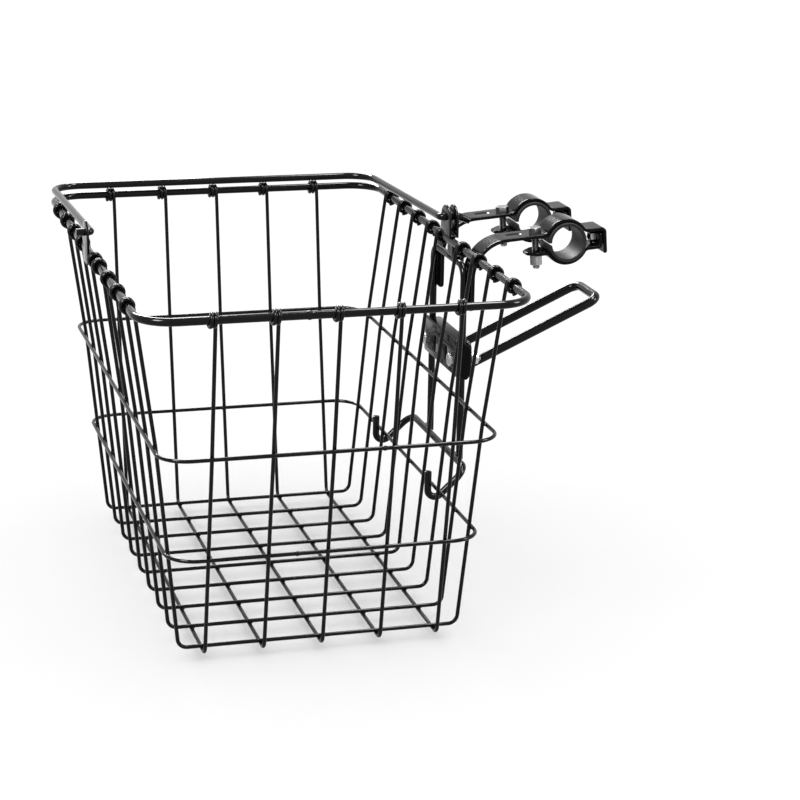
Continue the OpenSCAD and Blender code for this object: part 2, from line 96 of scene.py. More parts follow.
def at_basket(p):
    return (p[0] + SHIFT_X, p[1] + BASKET_Y, p[2])


# ---- mesh tools; every length is in millimetres until the mesh is made ----

def finish_mesh(name, bm, material, body, nodes=(), sharp=38.0):
    bmesh.ops.recalc_face_normals(bm, faces=bm.faces)
    for v in bm.verts:
        v.co *= MM
    mesh = bpy.data.meshes.new(name)
    bm.to_mesh(mesh)
    bm.free()
    for poly in mesh.polygons:
        poly.use_smooth = poly.material_index == 0
        poly.material_index = 0
    mesh.set_sharp_from_angle(angle=math.radians(sharp))
    mesh.materials.append(material)
    obj = bpy.data.objects.new(name, mesh)
    bpy.context.scene.collection.objects.link(obj)
    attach(obj, body)
    if nodes:
        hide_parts(*nodes)
    return obj


def arc_corner(a, p, b, radius, step=9.0):
    """Points of a round corner at p between straight runs from a and to b."""
    u, v = (p - a).normalized(), (b - p).normalized()
    turn = u.angle(v, 0.0)
    if turn < 1e-4:
        return [p]
    inward = (v - u).normalized()
    centre = p + inward * radius / math.cos(turn / 2)
    start = p - u * radius * math.tan(turn / 2) - centre
    axis = u.cross(v).normalized()
    count = max(4, int(math.degrees(turn) / step) + 1)
    return [centre + Matrix.Rotation(turn * i / count, 3, axis) @ start for i in range(count + 1)]


def rounded_path(points, bends, longest=12.0):
    """A bent rod's centre line: straight runs, cut into short steps, and round corners."""
    pts = [Vector(p) for p in points]
    path = [pts[0]]
    for i in range(1, len(pts) - 1):
        path += arc_corner(pts[i - 1], pts[i], pts[i + 1], bends[i - 1])
    path.append(pts[-1])
    return resampled(path, longest)


def resampled(path, longest):
    out = [path[0]]
    for a, b in zip(path, path[1:]):
        count = max(1, math.ceil((b - a).length / longest))
        out += [a.lerp(b, (k + 1) / count) for k in range(count)]
    return out


def ring_path(hx, hy, bend, z, longest=12.0):
    path = []
    for cx, cy, start in ((1, 1, 0), (-1, 1, 90), (-1, -1, 180), (1, -1, 270)):
        for k in range(13):
            a = math.radians(start + 90 * k / 12)
            path.append(Vector((cx * (hx - bend) + bend * math.cos(a),
                                cy * (hy - bend) + bend * math.sin(a), z)))
    return resampled(path + [path[0]], longest)[:-1]


def skin(bm, rows, closed=False):
    """Joins equal rings of points with faces; an open skin is capped at both ends."""
    for a, b in list(zip(rows, rows[1:])) + ([(rows[-1], rows[0])] if closed else []):
        for k in range(len(a)):
            j = (k + 1) % len(a)
            bm.faces.new((a[k], a[j], b[j], b[k]))
    if not closed:
        bm.faces.new(rows[0][::-1])
        bm.faces.new(rows[-1])


def pointed_skin(bm, rows):
    """Joins rings of points with faces; a ring of one point is the tip of a cone."""
    for a, b in zip(rows, rows[1:]):
        sides = max(len(a), len(b))
        for k in range(sides):
            j = (k + 1) % sides
            if len(a) == 1:
                bm.faces.new((a[0], b[j], b[k]))
            elif len(b) == 1:
                bm.faces.new((a[k], a[j], b[0]))
            else:
                bm.faces.new((a[k], a[j], b[j], b[k]))


def sweep(bm, path, radius, closed=False, sides=20, swell=None, edge=0.3):
    """A round tube along the path. Open ends are cut square with a small rounded edge."""
    pts = [Vector(p) for p in path]
    count = len(pts)
    tangents = []
    for i in range(count):
        a = pts[i - 1] if i or closed else pts[0]
        b = pts[(i + 1) % count] if i < count - 1 or closed else pts[-1]
        tangents.append((b - a).normalized())
    normal = tangents[0].orthogonal().normalized()
    normals = [normal]
    for i in range(1, count):
        turn = tangents[i - 1].rotation_difference(tangents[i])
        normals.append((turn @ normals[-1]).normalized())
    twist = 0.0
    if closed:
        last = tangents[-1].rotation_difference(tangents[0]) @ normals[-1]
        twist = math.atan2(last.dot(tangents[0].cross(normals[0])), last.dot(normals[0]))
    rows = []
    stations = [(pts[i], tangents[i], normals[i], radius, -twist * i / count)
                for i in range(count)]
    if not closed:
        ends = []
        for end, way in ((0, -1), (count - 1, 1)):
            p, t, n = pts[end], tangents[end], normals[end]
            ends.append([(p + t * way * (-edge + edge * math.sin(a)), t, n,
                          radius - edge + edge * math.cos(a), 0.0)
                         for a in (0.0, math.pi / 4, math.pi / 2)])
        stations = ends[0][::-1] + stations[1:-1] + ends[1]
    for p, t, n, r, spin in stations:
        side = t.cross(n)
        ring = []
        for k in range(sides):
            a = 2 * math.pi * k / sides + spin
            out = n * math.cos(a) + side * math.sin(a)
            ring.append(bm.verts.new(p + out * (r + (swell(p, out) if swell else 0.0))))
        rows.append(ring)
    skin(bm, rows, closed)


def lathe(bm, profile, place, sides=40, trim=None):
    """Turns (radius, height) points round local Z; a radius of 0 closes the surface."""
    rows = []
    for r, h in profile:
        if r <= 1e-6:
            rows.append([bm.verts.new(place @ Vector((0, 0, h)))])
            continue
        ring = []
        for k in range(sides):
            a = 2 * math.pi * k / sides
            out = trim(a, r) if trim else r
            ring.append(bm.verts.new(place @ Vector((out * math.cos(a), out * math.sin(a), h))))
        rows.append(ring)
    pointed_skin(bm, rows)


def hex_piece(bm, flats, height, place, bore=0.0, both=False):
    """A hexagon head or nut from z = 0 up, with chamfered corners and an optional bore."""
    half = flats / 2
    corner = half / math.cos(math.pi / 6)
    rim = half - 0.15
    drop = (corner - rim) * 0.55
    steps = 6
    top = [(rim + (corner - rim) * k / steps, height - drop * k / steps)
           for k in range(steps + 1)]
    low = [(r, height - h) for r, h in top[::-1]] if both else [(corner, 0.0), (rim - 0.4, 0.0)]

    def six_flats(a, r):
        return min(r, half / math.cos((a + math.pi / 6) % (math.pi / 3) - math.pi / 6))
    start, end = [(0, 0)], [(0, height)]
    if bore:
        lip = 0.35
        start = [(bore, lip), (bore + lip, 0.0)]
        end = [(bore + lip, height), (bore, height - lip), (bore, lip)]
    lathe(bm, start + low[::-1] + top[::-1] + end, place, 60, six_flats)


def thread(bm, radius, low, high, place, pitch=0.8, depth=0.35):
    """A screw thread with a chamfered lower end."""
    rows = []
    sides, steps_per_turn, chamfer, slope = 28, 8, 0.9, 1.1
    steps = int((high - low) / pitch * steps_per_turn)
    for i in range(steps + 1):
        z = low + (high - low) * i / steps
        ring = []
        for k in range(sides):
            a = 2 * math.pi * k / sides
            phase = (z / pitch + k / sides) % 1.0
            cut = depth * (1 - abs(2 * phase - 1))
            r = min(radius - cut, radius - chamfer + (z - low) * slope)
            ring.append(bm.verts.new(place @ Vector((r * math.cos(a), r * math.sin(a), z))))
        rows.append(ring)
    skin(bm, rows)


def plate(bm, loops, thickness, bevel, place):
    """A flat plate with round edges from an outline and its holes, centred on local z = 0."""
    curve = bpy.data.curves.new("outline", "CURVE")
    curve.dimensions = "2D"
    curve.fill_mode = "BOTH"
    curve.extrude = thickness / 2 - bevel
    curve.bevel_depth = bevel
    curve.bevel_resolution = 2
    curve.offset = -bevel
    for loop in loops:
        spline = curve.splines.new("POLY")
        spline.points.add(len(loop) - 1)
        for point, (x, y) in zip(spline.points, loop):
            point.co = (x, y, 0, 1)
        spline.use_cyclic_u = True
    holder = bpy.data.objects.new("outline", curve)
    bpy.context.scene.collection.objects.link(holder)
    mesh = bpy.data.meshes.new_from_object(
        holder.evaluated_get(bpy.context.evaluated_depsgraph_get()))
    bpy.data.objects.remove(holder)
    mesh.transform(place)
    part = bmesh.new()
    part.from_mesh(mesh)
    bmesh.ops.remove_doubles(part, verts=part.verts, dist=0.001)
    part.to_mesh(mesh)
    part.free()
    first = len(bm.faces)
    bm.from_mesh(mesh)
    bpy.data.meshes.remove(mesh)
    bm.faces.ensure_lookup_table()
    up = (place.to_3x3() @ Vector((0, 0, 1))).normalized()
    for face in bm.faces[first:]:
        face.normal_update()
        # index 1 marks the level faces, which are shaded flat
        face.material_index = int(abs(face.normal.dot(up)) > 0.999)


def circle_loop(x, y, r, count=36):
    """A round hole's outline."""
    turns = [-2 * math.pi * k / count for k in range(count)]
    return [(x + r * math.cos(a), y + r * math.sin(a)) for a in turns]


def rounded_loop(corners, radii):
    """An outline with its corners rounded; a radius of 0 keeps a corner sharp."""
    pts = [Vector((x, y, 0)) for x, y in corners]
    out = []
    for i, p in enumerate(pts):
        a, b = pts[i - 1], pts[(i + 1) % len(pts)]
        out += arc_corner(a, p, b, radii[i], 10.0) if radii[i] else [p]
    return [(p.x, p.y) for p in out]


def strap(bm, path, x0, width, thick, round_start=0.0, round_end=0.0, dent=None, taper=None):
    """A flat strap bent along a path in the YZ plane, with rounded long edges and ends.

    The taper gives the half width from the distance to the path's end."""
    pts = [Vector((0, y, z)) for y, z in path]
    total = sum((b - a).length for a, b in zip(pts, pts[1:]))
    fine = []
    for a, b in zip(pts, pts[1:]):
        count = max(1, math.ceil((b - a).length))
        fine += [a.lerp(b, k / count) for k in range(count)]
    fine.append(pts[-1])
    stations, walked = [], 0.0
    for i, p in enumerate(fine):
        walked += (p - fine[i - 1]).length if i else 0.0
        a, b = fine[max(i - 1, 0)], fine[min(i + 1, len(fine) - 1)]
        t = (b - a).normalized()
        stations.append((p, Vector((0, -t.z, t.y)), walked, t))
    edge = 0.45
    half_t = thick / 2
    across = [-1 + k / 8 for k in range(17)]
    # the section: where across it, the angle round an edge, and which face
    section = [(v, 0.0, 1) for v in across]
    section += [(1.0, math.radians(a), 0) for a in (30, 60, 90, 120, 150)]
    section += [(v, 0.0, -1) for v in across[::-1]]
    section += [(-1.0, math.radians(180 + a), 0) for a in (30, 60, 90, 120, 150)]
    rows = []
    for p, n, s, t in stations:
        half_w = width / 2
        for left, r in ((s, round_start), (total - s, round_end)):
            if r and left < r:
                cut = max(left, 0.02)
                half_w = min(half_w, width / 2 - r + math.sqrt(max(r * r - (r - cut) ** 2, 0)))
        if taper:
            half_w = min(half_w, taper(total - s))
        end_in = min(s, total - s)
        ring = []
        thin = half_t if end_in > edge else half_t - edge + math.sqrt(
            max(edge ** 2 - (edge - end_in) ** 2, 0.0)) + 0.02
        for v, a, face in section:
            inner = half_w - edge
            if face:
                x, h = v * inner, face * thin
                if dent:
                    h -= face * dent(s, x, face)
            else:
                x = v * inner + math.sin(a) * edge
                h = math.cos(a) * thin
            ring.append(bm.verts.new(Vector((x0 + x, 0, 0)) + p + n * h))
        rows.append(ring)
    skin(bm, rows)


def arc_yz(cy, cz, r, start, end, count=18):
    """An arc in the side view, in degrees from +Y towards +Z."""
    return [(cy + r * math.cos(math.radians(start + (end - start) * k / count)),
             cz + r * math.sin(math.radians(start + (end - start) * k / count)))
            for k in range(count + 1)]


def lump(bm, centre, along, up, size, seed):
    """A weld nugget: a flattened blob with a slightly uneven skin."""
    z = Vector(up).normalized()
    x = Vector(along).normalized()
    x = (x - z * x.dot(z)).normalized()
    y = z.cross(x)
    rings, sides, uneven = 8, 14, 0.16
    rows = []
    for i in range(rings + 1):
        tilt = math.pi * i / rings
        row = []
        for k in range(1 if i in (0, rings) else sides):
            a = 2 * math.pi * k / sides
            d = Vector((math.sin(tilt) * math.cos(a), math.sin(tilt) * math.sin(a),
                        math.cos(tilt)))
            wobble = 1 + uneven * noise.noise(d * 1.7 + Vector((seed * 3.1, seed * 1.7, seed)))
            row.append(bm.verts.new(Vector(centre) + (
                x * d.x * size[0] + y * d.y * size[1] + z * d.z * size[2]) * wobble))
        rows.append(row)
    pointed_skin(bm, rows)


# ---- materials ----

def new_material(name):
    mat = bpy.data.materials.new(name)
    mat.use_nodes = True
    tree = mat.node_tree
    return mat, tree, tree.nodes["Principled BSDF"]


def add(tree, kind, **inputs):
    node = tree.nodes.new(kind)
    for key, value in inputs.items():
        node.inputs[key.replace("_", " ")].default_value = value
    return node


def cloudy(tree, source, scale, detail, roughness):
    node = add(tree, "ShaderNodeTexNoise", Scale=scale, Detail=detail, Roughness=roughness)
    tree.links.new(source, node.inputs["Vector"])
    return node.outputs["Fac"]


def ramp(tree, source, stops):
    node = tree.nodes.new("ShaderNodeValToRGB")
    elements = node.color_ramp.elements
    while len(elements) < len(stops):
        elements.new(0.5)
    for element, (place, colour) in zip(elements, stops):
        element.position = place
        element.color = (*colour, 1)
    tree.links.new(source, node.inputs["Fac"])
    return node.outputs["Color"]


def grey(value):
    return (value, value, value)


def brighter(shade, factor):
    return tuple(c * factor for c in shade)


def set_gloss(tree, bsdf, source, low, high):
    node = add(tree, "ShaderNodeMapRange", To_Min=low, To_Max=high)
    tree.links.new(source, node.inputs["Value"])
    tree.links.new(node.outputs["Result"], bsdf.inputs["Roughness"])


def set_bump(tree, bsdf, source, strength, distance):
    node = add(tree, "ShaderNodeBump", Strength=strength, Distance=distance)
    tree.links.new(source, node.inputs["Height"])
    tree.links.new(node.outputs["Normal"], bsdf.inputs["Normal"])


def gloss_coat(name, base, rough, peel=0.05, sheen=0.13):
    """Glossy dipped enamel: orange peel, faint specks of dust and a cloudy gloss."""
    mat, tree, bsdf = new_material(name)
    coords = add(tree, "ShaderNodeTexCoord").outputs["Object"]
    cloud = cloudy(tree, coords, 55.0, 5.0, 0.6)
    fine = cloudy(tree, coords, 900.0, 3.0, 0.5)
    dust = cloudy(tree, coords, 2600.0, 2.0, 0.7)
    tone = ramp(tree, cloud, [(0.30, brighter(base, 0.75)), (0.70, brighter(base, 1.35))])
    specks = ramp(tree, dust, [(0.70, grey(0.0)), (0.76, grey(1.0))])
    mix = tree.nodes.new("ShaderNodeMix")
    mix.data_type = "RGBA"
    mix.inputs["B"].default_value = (*grey(0.012), 1)
    tree.links.new(specks, mix.inputs["Factor"])
    tree.links.new(tone, mix.inputs["A"])
    tree.links.new(mix.outputs["Result"], bsdf.inputs["Base Color"])
    set_gloss(tree, bsdf, cloud, rough * 0.75, rough * 1.35)
    set_bump(tree, bsdf, fine, peel, 0.0001)
    bsdf.inputs["Specular IOR Level"].default_value = sheen
    return mat


def zinc_plate(name, bright):
    """Zinc plate: fine drawn marks and cloudy passivation; bright scales the base colour."""
    mat, tree, bsdf = new_material(name)
    coords = add(tree, "ShaderNodeTexCoord").outputs["Object"]
    cloud = cloudy(tree, coords, 260.0, 5.0, 0.65)
    stretch = add(tree, "ShaderNodeMapping", Scale=(400.0, 5200.0, 5200.0))
    tree.links.new(coords, stretch.inputs["Vector"])
    marks = cloudy(tree, stretch.outputs["Vector"], 1.0, 3.0, 0.6)
    tones = [(0.28, (0.15, 0.145, 0.135)), (0.50, (0.25, 0.25, 0.245)),
             (0.74, (0.34, 0.345, 0.355))]
    # a bright factor above the plain zinc's 1.25 paints light into the base colour: a lighter
    # copy of the same zinc
    tone = ramp(tree, cloud, [(at, brighter(shade, bright)) for at, shade in tones])
    tree.links.new(tone, bsdf.inputs["Base Color"])
    bsdf.inputs["Metallic"].default_value = 1.0
    set_gloss(tree, bsdf, marks, 0.16, 0.34)
    set_bump(tree, bsdf, marks, 0.12, 0.0002)
    return mat


def rubber_skin(name):
    """Moulded black rubber: matt, with a fine grain and paler rubbed patches."""
    mat, tree, bsdf = new_material(name)
    coords = add(tree, "ShaderNodeTexCoord").outputs["Object"]
    grain = cloudy(tree, coords, 1800.0, 4.0, 0.7)
    cloud = cloudy(tree, coords, 120.0, 4.0, 0.6)
    tone = ramp(tree, cloud, [(0.35, grey(0.002)), (0.72, grey(0.006))])
    tree.links.new(tone, bsdf.inputs["Base Color"])
    bsdf.inputs["Specular IOR Level"].default_value = 0.2
    set_gloss(tree, bsdf, cloud, 0.45, 0.65)
    set_bump(tree, bsdf, grain, 0.35, 0.0003)
    return mat


BRACKET_TONE = (0.0014, 0.0014, 0.0015)
ENAMEL = gloss_coat("basket_enamel", (0.0012, 0.0012, 0.0013), 0.10)
BRACKET = gloss_coat("bracket_enamel", BRACKET_TONE, 0.11, peel=0.06)
STRAP = gloss_coat("strap_enamel", BRACKET_TONE, 0.11, peel=0.06, sheen=0.06)
TRAY = gloss_coat("tray_enamel", BRACKET_TONE, 0.11, peel=0.04, sheen=0.04)
SCREW_BLACK = gloss_coat("screw_black", grey(0.002), 0.26, peel=0.03)
ZINC = zinc_plate("zinc", 1.25)
# painted highlight: the same zinc with a brighter base colour, standing in for the highlights on
# the brace bolts and nuts
ZINC_PAINTED_BRIGHT = zinc_plate("zinc_painted_bright", 1.8)
RUBBER = rubber_skin("liner_rubber")


# ---- basket ----

def wall(top, waist, foot, z):
    """How far a wall stands from the middle at depth z: straight above and below its waist."""
    if z < UPPER_Z:
        return top + (waist - top) * z / UPPER_Z
    return waist + (foot - waist) * (z - UPPER_Z) / (FLOOR_Z - UPPER_Z)


def wall_y(z):
    return wall(RIM_HY - COIL_OFF, WAIST_HY, FLOOR_HY, z)


def wall_x(z):
    return wall(RIM_HX - COIL_OFF, WAIST_HX, FLOOR_HX, z)


def bead(centre, along, size, height):
    """Swelling of a wire at a butt weld."""
    centre, along = Vector(centre), Vector(along)

    def swell(p, out):
        d = (p - centre).dot(along) / size
        if abs(d) > 1.6:
            return 0.0
        ripple = noise.noise((p + out * 2.0) * 0.9) * 0.22
        return max(0.0, height * math.exp(-d * d * 2.2) * (1 + ripple))
    return swell


def dense(path, centre, reach):
    """Adds close stations to a closed path near a point."""
    step = 0.35
    out = []
    for i, a in enumerate(path):
        b = path[(i + 1) % len(path)]
        out.append(a)
        length = (b - a).length
        near = (((a + b) / 2) - centre).length < reach + length / 2
        if near and length > step:
            count = math.ceil(length / step)
            out += [a.lerp(b, k / count) for k in range(1, count)]
    return out


def moved(points):
    return [Vector(at_basket(p)) for p in points]


def ring(name, node, hx, hy, bend, depth, radius, sides, seam_y, weld_reach, weld):
    """A closed ring of wire with its butt weld on the +X side."""
    bm = bmesh.new()
    seam = Vector(at_basket((hx, seam_y, -depth)))
    path = dense(moved(ring_path(hx, hy, bend, -depth)), seam, weld_reach)
    sweep(bm, path, radius, closed=True, sides=sides, swell=bead(seam, (0, 1, 0), *weld))
    finish_mesh(name, bm, ENAMEL, "basket", [node])


ring("rim_wire", "top_rim", RIM_HX, RIM_HY, RIM_BEND, 0.0, RIM_R, 28, -20.0, 4.0, (1.5, 0.42))
for name, node, depth, seam_y in (("upper_band_wire", "upper_ring", UPPER_Z, 31.0),
                                  ("lower_band_wire", "lower_ring", LOWER_Z, -20.0)):
    ring(name, node, wall_x(depth) + RING_OFF, wall_y(depth) + RING_OFF, RING_BEND, depth,
         WIRE_R, 18, seam_y, 3.0, (1.3, 0.4))


def coil(x0, turns, phase, stub):
    """A wire's end wound round the rim: the rim's axis is X, the wire arrives on the -Y side.

    The winding starts gently, runs a little loose, and its last bit stands off by the stub."""
    out = []
    count = int(turns * 26)
    for k in range(count + 1):
        a = 2 * math.pi * turns * k / count
        ease = min(1.0, a / 1.2)
        run = COIL_STEP * (a / (2 * math.pi)) * (0.35 + 0.65 * ease)
        loose = 0.03 * noise.noise(Vector((phase, a * 0.6, 0.0)))
        left = turns - a / (2 * math.pi)
        stray = stub * max(0.0, 1 - left / 0.16) ** 2
        r = COIL_OFF - 0.08 + loose + stray
        out.append(Vector((x0 + run, -r * math.cos(a), r * math.sin(a))))
    return out


def wire_path(top, waist, foot, depth, x_a, x_b, x_foot, seed, turns, stub):
    """A wire down one wall, across the floor and up the other, wound on the rim at both ends."""
    part = UPPER_Z / FLOOR_Z
    pts = [
        (x_a, -top, 0), (x_a + (x_foot - x_a) * part, -waist, -UPPER_Z),
        (x_foot, -foot, -depth), (x_foot, foot, -depth),
        (x_b + (x_foot - x_b) * part, waist, -UPPER_Z), (x_b, top, 0)]
    body = rounded_path(pts, [WAIST_BEND, FLOOR_BEND, FLOOR_BEND, WAIST_BEND])
    rng = random.Random(seed)
    rim = top + COIL_OFF
    first = coil(x_a, turns + 0.07 * rng.random(), seed, stub)
    last = coil(x_b, turns + 0.07 * rng.random(), seed + 0.5, stub)
    start = [Vector((p.x, -rim - p.y, p.z)) for p in first][::-1]
    end = [Vector((p.x, rim + p.y, p.z)) for p in last]
    return start[:-1] + body[1:-1] + end[1:]


def long_ends(i):
    """Where a long wire meets the rim in front and behind; the middle one clears the clips."""
    step = i - LONG_MID
    if step == 0:
        return CLIP_X + CLIP_W / 2 + 3.2, CLIP_X - CLIP_W / 2 - 4.2
    return step * LONG_PITCH, step * LONG_PITCH


def long_foot(i):
    return (i - LONG_MID) * LONG_FLOOR_PITCH


def cross_y(j):
    return (j - CROSS_MID) * CROSS_PITCH


def wound_wire(label, i, path):
    bm = bmesh.new()
    sweep(bm, moved(path), WIRE_R, sides=18, edge=0.35)
    finish_mesh(f"{label}_wound_{i}", bm, ENAMEL, "basket", [f"{label}_{i}"])


for i in range(1, LONG_WIRES + 1):
    wound_wire("long_wire", i, wire_path(RIM_HY - COIL_OFF, WAIST_HY, FLOOR_HY, FLOOR_Z,
                                         *long_ends(i), long_foot(i), i, 1.76, 1.2))
for i in range(1, CROSS_WIRES + 1):
    y = cross_y(i)
    path = wire_path(RIM_HX - COIL_OFF, WAIST_HX, FLOOR_HX, CROSS_FLOOR_Z, -y, -y, -y, 20 + i,
                     1.92, 0.0)
    wound_wire("cross_wire", i, [Vector((p.y, -p.x, p.z)) for p in path])

# weld nuggets where the wires cross; each one's skin takes the next seed
bm = bmesh.new()
seed = 0
between = WIRE_R + TOUCH / 2
for depth in (UPPER_Z, LOWER_Z):
    part = depth / FLOOR_Z
    for i in range(1, LONG_WIRES + 1):
        for side, x_top in zip((-1, 1), long_ends(i)):
            x = x_top + (long_foot(i) - x_top) * part
            for way in (-1, 1):
                seed += 1
                lump(bm, at_basket((x + way, side * (wall_y(depth) + between),
                                    -depth + way * 0.15)), (1, 0, 0), (0, side, 0),
                     (1.0, 0.95, 0.62), seed)
    for j in range(1, CROSS_WIRES + 1):
        for side in (-1, 1):
            for way in (-1, 1):
                seed += 1
                lump(bm, at_basket((side * (wall_x(depth) + between), cross_y(j) + way,
                                    -depth + way * 0.15)), (0, 1, 0), (side, 0, 0),
                     (1.0, 0.95, 0.62), seed)
for i in range(1, LONG_WIRES + 1):
    for j in range(1, CROSS_WIRES + 1):
        for way in (-1, 1):
            seed += 1
            lump(bm, at_basket((long_foot(i) + way * 0.7, cross_y(j) + way * 0.7,
                                -FLOOR_Z - between)), (1, 0, 0), (0, 0, 1),
                 (0.95, 0.95, 0.6), seed)
finish_mesh("wire_welds", bm, ENAMEL, "basket")


# ---- clips ----

def clip(name, way, node, latch):
    """Sheet clip on the rim; drawn with +y outwards. The rear one is folded and has a latch."""
    part = bmesh.new()
    out = low = RIM_R + TOUCH
    inner_y, t, half = -RIM_R, CLIP_T, CLIP_W / 2
    dome_z, tail_z, tail_x, notch, foot_hx, foot_z = 13.0, -11.75, 2.0, 2.5, 7.0, -5.0
    pin_hole = circle_loop(0, PIVOT_Z, BAIL_R + 0.05)
    top = [(half * math.cos(math.radians(a)), dome_z + half * math.sin(math.radians(a)))
           for a in range(0, 181, 10)]

    def cheek(outline, y):
        stand = Matrix.Translation((0, y, 0)) @ Matrix.Rotation(math.radians(90), 4, "X")
        plate(part, [outline, pin_hole], t, 0.25, stand)
    if latch:
        cheek([(half, low)] + top + [(-half, tail_z), (tail_x, tail_z),
                                     (tail_x, low - notch), (tail_x + notch, low)], out + t / 2)
        cheek([(half, low + t)] + top + [(-half, low + t)], inner_y + t / 2)
        # floor of the channel, with its folds
        fold = 0.75
        fold_z = low + 2 * fold
        floor_path = [(out + t / 2, low + t + 0.6)]
        floor_path += arc_yz(out - 0.15 + t / 2 - fold, fold_z, fold, 0, -90, 6)
        floor_path += arc_yz(inner_y + t / 2 + fold, fold_z, fold, -90, -180, 6)
        floor_path += [(inner_y + t / 2, low + t + 0.6)]
        strap(part, floor_path, 0.0, CLIP_W - 0.06, t - 0.06)
        # ledge over the hanger's top bar and the lip behind it
        ledge_z = HANGER_TOP + ROD_R + 0.05 + t / 2
        back, bend = 9.3 + t / 2, 1.0
        latch_x, latch_w, latch_top, lip_z = -4.0, 12.0, -9.0, -21.0
        latch_path = [(out + t / 2, latch_top)]
        latch_path += arc_yz(out + t / 2 + bend, ledge_z + bend, bend, 180, 270, 8)
        latch_path += arc_yz(back - bend, ledge_z - bend, bend, 90, 0, 8)
        latch_path += [(back, lip_z)]
        strap(part, latch_path, latch_x, latch_w - TOUCH, t - TOUCH, round_end=2.0)
    else:
        cheek([(half, 0.0)] + top + [(-half, 0.0), (-foot_hx, foot_z), (foot_hx, foot_z)],
              out + t / 2)
    for v in part.verts:
        v.co = Vector(at_basket((v.co.x + CLIP_X, (v.co.y + RIM_HY) * way, v.co.z)))
    finish_mesh(name, part, ENAMEL, "basket", [node], sharp=45)


clip("front_bail_clip", -1, "front_clip", False)
clip("rear_bail_clip", 1, "rear_clip", True)

# weld fillets between the clips and the rim
bm = bmesh.new()
for k in range(9):
    x = CLIP_X - 8 + 2.0 * k
    for way in (-1, 1):
        seed += 1
        lump(bm, at_basket((x, RIM_HY + way * 1.5, RIM_R - 0.35)), (1, 0, 0),
             (0, way * 0.6, 1), (1.35, 0.75, 0.7), seed)
    seed += 1
    lump(bm, at_basket((x, -RIM_HY - RIM_R + 0.25, 1.75)), (1, 0, 0), (0, 1, 1),
         (1.35, 0.8, 0.65), seed)
finish_mesh("clip_welds", bm, ENAMEL, "basket")

# ---- bail handle ----

bm = bmesh.new()
front_leg = -(RIM_HY + RIM_R + TOUCH - BAIL_R - 0.3)
rear_leg = RIM_HY - RIM_R - 3.0 - TOUCH
bar_x = CLIP_X - BAIL_REACH
path = rounded_path([
    (CLIP_X, -RIM_HY - 9.5, PIVOT_Z), (CLIP_X, front_leg, PIVOT_Z), (bar_x, front_leg, BAIL_Z),
    (bar_x, rear_leg, BAIL_Z), (CLIP_X, rear_leg, PIVOT_Z), (CLIP_X, RIM_HY + 7, PIVOT_Z),
    (CLIP_X, RIM_HY + 14.5, PIVOT_Z - 3.4)], [2.6, 20, 20, 3, 3], 8.0)
sweep(bm, moved(path), BAIL_R, sides=28, edge=0.5)
finish_mesh("bail_wire", bm, ENAMEL, "handle", ["bail_handle"])

# ---- bracket ----

# the clamps are turned about the handlebar, front end down
TILT = math.radians(4.5)
CLAMP = Matrix.Rotation(TILT, 4, "X")
ARM_TOP, ARM_BEND, ARM_FOOT_Z = 7.0, 26.0, -45.0
STRIP_DENT_Z, FLAT_DENT_Y = -34.5, -34.0
TAIL_BACK, TAIL_LOW, TAIL_BEND = 28.2, -11.0, 3.5
EAR_TOP, EAR_FRONT = -5.2, -27.0
TAB_BACK, TAB_TOP, TAB_BEND = 25.1, 3.2, 3.2
LINER_R, LINER_HALF = BAND_IN - TOUCH, 12.0
BOLT_Y, TAIL_Z = -19.0, -0.6
strip_y = HANGER_Y + ROD_R + TOUCH
half_t = STRAP_T / 2
arm_z, ear_z = ARM_TOP - half_t, EAR_TOP - half_t
mid_band = BAND_IN + half_t


def tilted(path):
    """Turns a side-view path about the handlebar's axis."""
    c, k = math.cos(TILT), math.sin(TILT)
    return [(y * c - z * k, y * k + z * c) for y, z in path]


def oval_dent(at_s, long, wide, deep):
    """A pressed oval: a shallow floor with soft walls."""
    wall_from, wall_to = 0.72, 1.08

    def dent(s, x):
        ds = abs(s - at_s) - (long - wide) / 2
        d = math.hypot(max(ds, 0.0), x) / (wide / 2)
        if d >= wall_to:
            return 0.0
        return deep * (1 - max(0.0, (d - wall_from) / (wall_to - wall_from)) ** 2)
    return dent


# arm: up the hanger, round a large bend, along the flat, over the bar and down its tail
meet = math.sqrt(mid_band ** 2 - arm_z ** 2)
meet_angle = math.degrees(math.asin(arm_z / mid_band))
bend_y = strip_y + ARM_BEND
bend_z = (ARM_TOP - ARM_BEND + bend_y * math.sin(TILT)) / math.cos(TILT)
flat_y = bend_y * math.cos(TILT) + bend_z * math.sin(TILT)
arm_path = [(strip_y + half_t, ARM_FOOT_Z), (strip_y + half_t, bend_z)]
arm_path += arc_yz(bend_y, bend_z, ARM_BEND - half_t, 180, 90 + math.degrees(TILT))[1:]
over_bar = [(-meet - 2.2, arm_z), (-meet - 1.0, arm_z + 0.25)]
over_bar += arc_yz(0, 0, mid_band, 180 - meet_angle - 6, meet_angle + 6, 30)
over_bar += [(meet + 1.0, arm_z + 0.25), (meet + 2.2, arm_z)]
over_bar += arc_yz(TAIL_BACK - TAIL_BEND, ARM_TOP - TAIL_BEND, TAIL_BEND - half_t, 90, 0, 8)
over_bar += [(TAIL_BACK - half_t, TAIL_LOW)]
arm_path += tilted(over_bar)
flat_start = bend_z - ARM_FOOT_Z + (ARM_BEND - half_t) * (math.pi / 2 - TILT)
DENT_SIZE = 11.0, 6.0, 0.6
strip_dent = oval_dent(STRIP_DENT_Z - ARM_FOOT_Z, *DENT_SIZE)
flat_dent = oval_dent(flat_start + FLAT_DENT_Y - flat_y, *DENT_SIZE)


def arm_dents(s, x, face):
    """The strip's oval is pressed in from behind, the flat's from above."""
    return flat_dent(s, x) if face > 0 else strip_dent(s, x)


